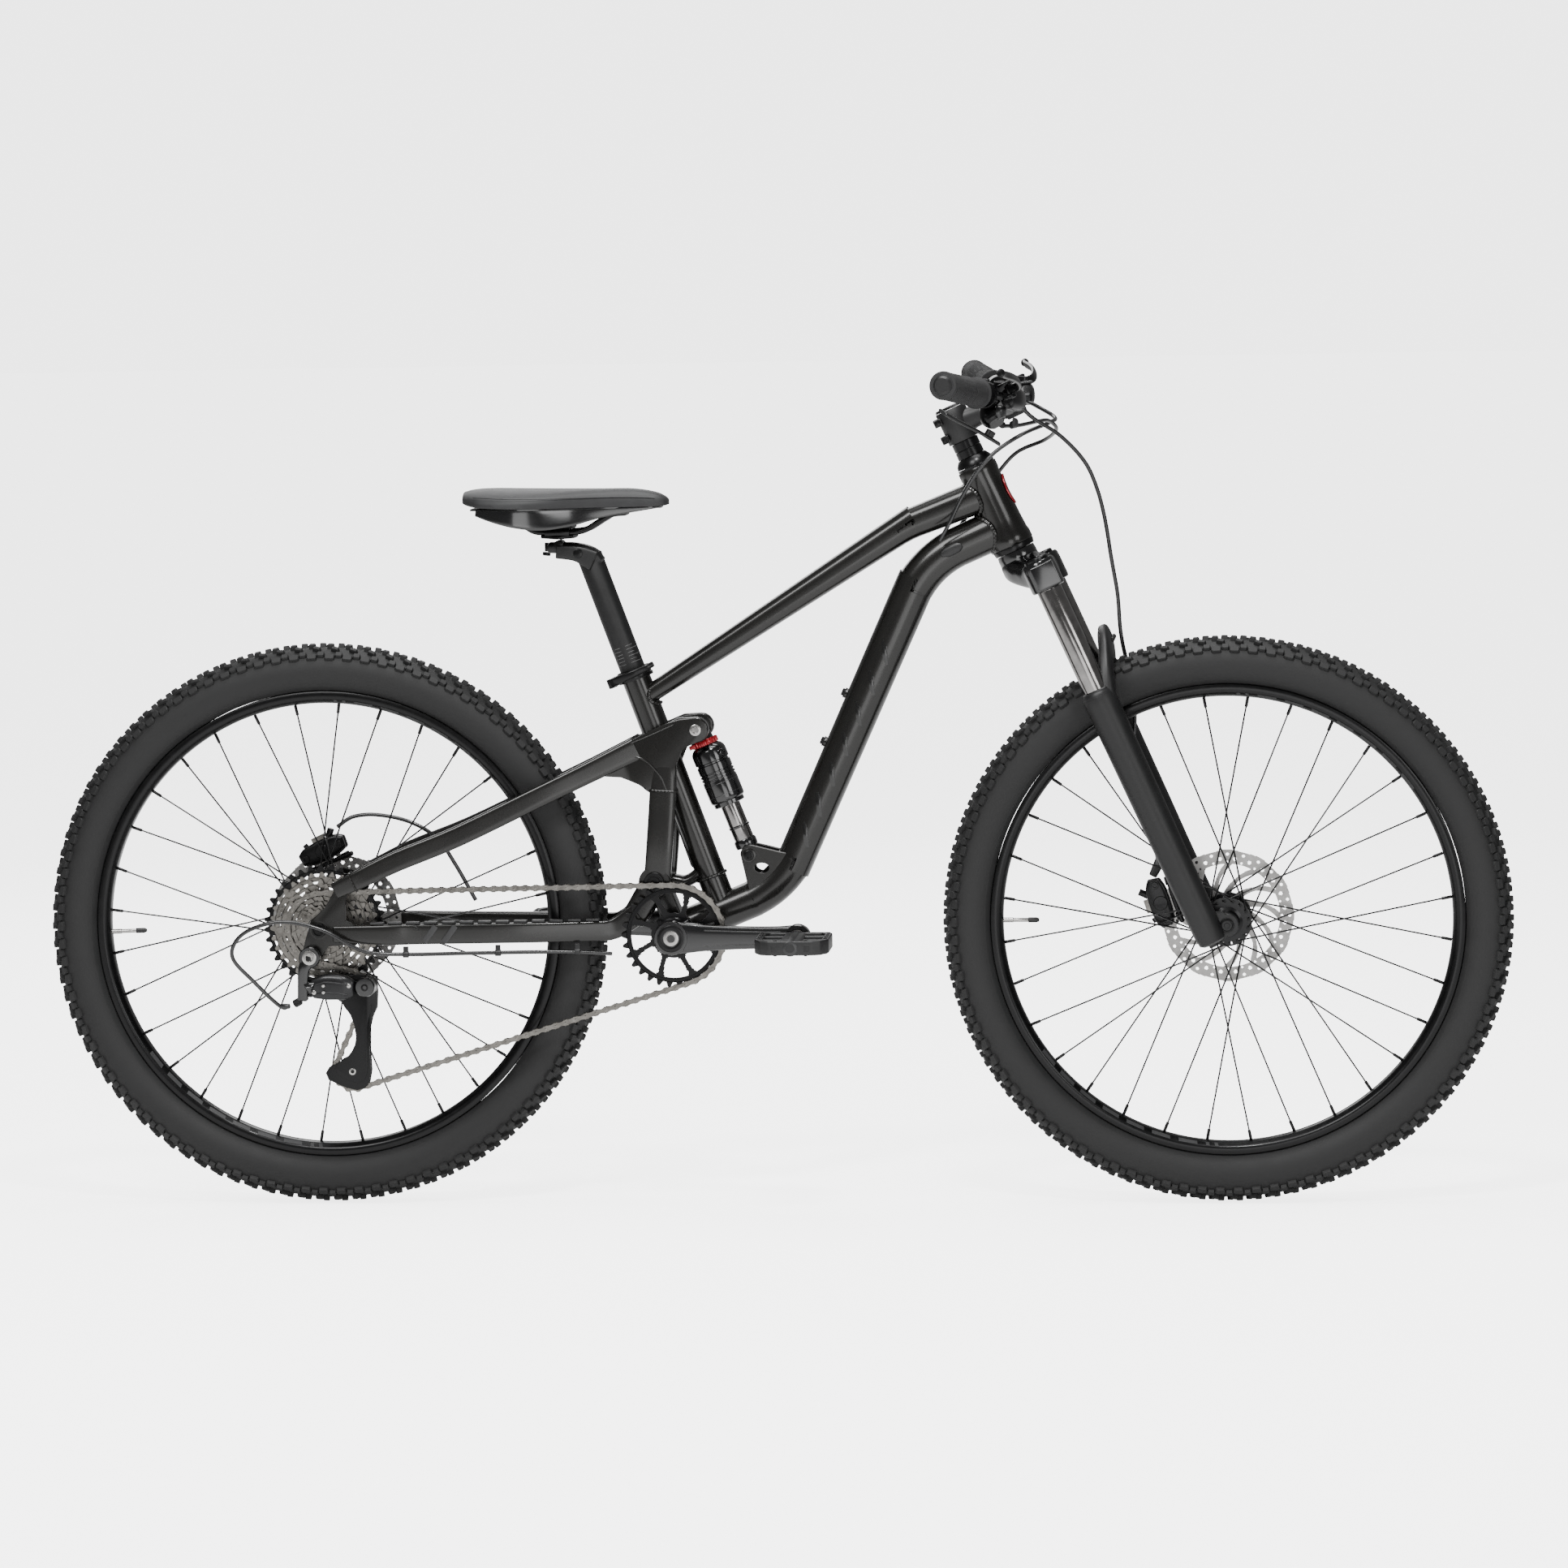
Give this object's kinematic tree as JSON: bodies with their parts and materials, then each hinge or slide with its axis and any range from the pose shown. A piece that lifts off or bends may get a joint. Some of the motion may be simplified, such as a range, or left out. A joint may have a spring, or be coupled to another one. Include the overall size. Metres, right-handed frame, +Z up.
{
  "type": "mountain bike",
  "caption": "Full-suspension mountain bike with a telescopic fork, air shock, disc brakes, derailleur gears and knobbly tyres.",
  "frame": {"origin": "on the ground, midway between the wheel axles, on the bike's mid-plane", "axes": "+X forward along the wheelbase, +Y to the rider's left, +Z up; the chain is on the -Y side"},
  "size_m": [1.774, 0.6546, 1.0107],
  "materials": {
    "frame_paint": "satin charcoal paint with an olive-brown tint",
    "black_metal": "black anodised",
    "matt_black": "matt black",
    "dark_chrome": "dark chrome",
    "steel": "nickel-plated steel",
    "rubber": "black rubber",
    "plastic": "matt black plastic",
    "saddle_cover": "matt synthetic leather",
    "hose": "glossy black"
  },
  "bodies": {
    "frame": {"front_frame": "frame_paint", "headset_upper_bearing": "black_metal", "headset_lower_bearing": "black_metal", "bottom_bracket": "black_metal", "main_pivot_axle": "black_metal", "seat_clamp_collar": "black_metal", "rear_brake_hose": "hose", "shift_housing": "hose"},
    "clamp_lever": {"seat_clamp_lever": "black_metal"},
    "seatpost_body": {"seatpost": "matt_black"},
    "saddle": {"saddle_clamp": "black_metal", "saddle_rails": "steel", "saddle_base": "plastic", "saddle_pad": "saddle_cover"},
    "steering": {"fork_upper": "dark_chrome", "stem": "matt_black", "stem_faceplate": "matt_black", "headset_spacers": "black_metal", "handlebar": "matt_black", "grip_right": "rubber", "grip_left": "rubber", "brake_master_right": "black_metal", "brake_master_left": "black_metal", "shifter_body": "black_metal", "front_brake_hose": "hose"},
    "brake_lever_right_body": {"brake_lever_right": "black_metal"},
    "brake_lever_left_body": {"brake_lever_left": "black_metal"},
    "thumb_lever": {"shifter_thumb_lever": "plastic"},
    "release_lever": {"shifter_release_lever": "plastic"},
    "fork_slider": {"fork_lowers": "matt_black", "front_axle": "black_metal", "front_brake_caliper": "black_metal"},
    "front_wheel": {"front_tyre": "rubber", "front_rim": "black_metal", "front_hub_spokes": "black_metal", "front_rotor": "steel"},
    "rear_triangle": {"swingarm": "frame_paint", "shock_air_can": "black_metal", "rear_axle": "black_metal", "rear_brake_caliper": "black_metal", "derailleur_knuckle": "black_metal", "chain": "steel", "rear_brake_hose_rear": "hose", "shift_housing_rear": "hose"},
    "shock_lower": {"shock_shaft": "dark_chrome"},
    "rear_wheel": {"rear_tyre": "rubber", "rear_rim": "black_metal", "rear_hub_spokes": "black_metal", "rear_rotor": "steel"},
    "cassette_body": {"cassette": "steel"},
    "crank": {"crank_arm_right": "black_metal", "crank_arm_left": "black_metal", "chainring": "black_metal"},
    "pedal_right_body": {"pedal_right": "plastic"},
    "pedal_left_body": {"pedal_left": "plastic"},
    "derailleur_parallelogram": {"derailleur_links": "black_metal"},
    "derailleur_lower": {"derailleur_lower_knuckle": "black_metal"},
    "derailleur_arm": {"derailleur_cage": "black_metal"},
    "upper_jockey": {"pulley_upper": "plastic"},
    "lower_jockey": {"pulley_lower": "plastic"}
  },
  "joints": [
    {"name": "seat_clamp_release", "type": "hinge", "parent": "frame", "child": "clamp_lever", "pos_m": [-0.19178, -0.015, 0.63289], "axis": [0.342, 0, -0.9397], "range_deg": [0, 150]},
    {"name": "seatpost_height", "type": "slide", "parent": "frame", "child": "seatpost_body", "axis": [-0.342, 0, 0.9397], "range_m": [-0.08, 0.03]},
    {"name": "saddle_tilt", "type": "hinge", "parent": "seatpost_body", "child": "saddle", "pos_m": [-0.25406, 0, 0.8155], "axis": [0, 1, 0], "range_deg": [-5, 5]},
    {"name": "steering", "type": "hinge", "parent": "frame", "child": "steering", "pos_m": [0.271, 0, 0.841], "axis": [-0.4099, 0, 0.9121], "range_deg": [-60, 60], "deforming": ["rear_brake_hose", "shift_housing"]},
    {"name": "brake_right", "type": "hinge", "parent": "steering", "child": "brake_lever_right_body", "pos_m": [0.2994, -0.172, 0.98409], "axis": [0.3762, 0, -0.9265], "range_deg": [0, 11], "stiffness_Nm_per_rad": 0.4, "springref_deg": -8.59},
    {"name": "brake_left", "type": "hinge", "parent": "steering", "child": "brake_lever_left_body", "pos_m": [0.2994, 0.172, 0.98409], "axis": [-0.3762, 0, 0.9265], "range_deg": [0, 11], "stiffness_Nm_per_rad": 0.4, "springref_deg": -8.59},
    {"name": "shift_up_paddle", "type": "hinge", "parent": "steering", "child": "thumb_lever", "pos_m": [0.27203, -0.148, 0.92861], "axis": [-0.5196, 0, -0.8544], "range_deg": [0, 20], "stiffness_Nm_per_rad": 0.2, "springref_deg": -5.73},
    {"name": "shift_release", "type": "hinge", "parent": "steering", "child": "release_lever", "pos_m": [0.30003, -0.162, 0.94211], "axis": [-0.5196, 0, -0.8544], "range_deg": [0, 12], "stiffness_Nm_per_rad": 0.2, "springref_deg": -5.73},
    {"name": "fork_travel", "type": "slide", "parent": "steering", "child": "fork_slider", "axis": [-0.4099, 0, 0.9121], "range_m": [0, 0.1], "stiffness_N_per_m": 5000, "springref_m": -0.01, "deforming": ["front_brake_hose"]},
    {"name": "front_wheel_spin", "type": "hinge", "parent": "fork_slider", "child": "front_wheel", "pos_m": [0.545, 0, 0.342], "axis": [0, 1, 0], "continuous": true},
    {"name": "rear_suspension", "type": "hinge", "parent": "frame", "child": "rear_triangle", "pos_m": [-0.142, 0, 0.394], "axis": [0, 1, 0], "range_deg": [0, 17], "stiffness_Nm_per_rad": 650, "springref_deg": -2.86, "deforming": ["chain"]},
    {"name": "shock_swing", "type": "hinge", "parent": "frame", "child": "shock_lower", "pos_m": [-0.029, 0, 0.424], "axis": [0, 1, 0], "range_deg": [0, 17]},
    {"name": "rear_wheel_spin", "type": "hinge", "parent": "rear_triangle", "child": "rear_wheel", "pos_m": [-0.545, 0, 0.342], "axis": [0, 1, 0], "continuous": true},
    {"name": "cassette_spin", "type": "hinge", "parent": "rear_triangle", "child": "cassette_body", "pos_m": [-0.545, 0, 0.342], "axis": [0, 1, 0], "continuous": true},
    {"name": "crank_spin", "type": "hinge", "parent": "frame", "child": "crank", "pos_m": [-0.1185, 0, 0.331], "axis": [0, 1, 0], "continuous": true},
    {"name": "pedal_right_spin", "type": "hinge", "parent": "crank", "child": "pedal_right_body", "pos_m": [0.0335, 0, 0.331], "axis": [0, 1, 0], "continuous": true},
    {"name": "pedal_left_spin", "type": "hinge", "parent": "crank", "child": "pedal_left_body", "pos_m": [-0.2705, 0, 0.331], "axis": [0, 1, 0], "continuous": true},
    {"name": "derailleur_swing", "type": "hinge", "parent": "rear_triangle", "child": "derailleur_parallelogram", "pos_m": [-0.557, -0.081, 0.272], "axis": [0, 0.7071, 0.7071], "range_deg": [-12, 8], "deforming": ["chain"]},
    {"name": "derailleur_level", "type": "hinge", "parent": "derailleur_parallelogram", "child": "derailleur_lower", "pos_m": [-0.489, -0.08, 0.274], "axis": [0, 0.7071, 0.7071], "range_deg": [-8, 12], "deforming": ["chain"]},
    {"name": "cage_tension", "type": "hinge", "parent": "derailleur_lower", "child": "derailleur_arm", "pos_m": [-0.489, 0, 0.274], "axis": [0, 1, 0], "range_deg": [-25, 6], "stiffness_Nm_per_rad": 0.5, "deforming": ["chain"]},
    {"name": "upper_pulley_spin", "type": "hinge", "parent": "derailleur_arm", "child": "upper_jockey", "pos_m": [-0.5145, -0.049, 0.2675], "axis": [0, 1, 0], "continuous": true},
    {"name": "lower_pulley_spin", "type": "hinge", "parent": "derailleur_arm", "child": "lower_jockey", "pos_m": [-0.5115, -0.049, 0.1675], "axis": [0, 1, 0], "continuous": true}
  ],
  "couplings": [
    {"joint": "shock_swing", "follows": "rear_suspension", "ratio": 1},
    {"joint": "cassette_spin", "follows": "crank_spin", "ratio": 1.4286},
    {"joint": "upper_pulley_spin", "follows": "crank_spin", "ratio": -2.7273},
    {"joint": "lower_pulley_spin", "follows": "crank_spin", "ratio": 2.7273},
    {"joint": "derailleur_level", "follows": "derailleur_swing", "ratio": -1}
  ]
}
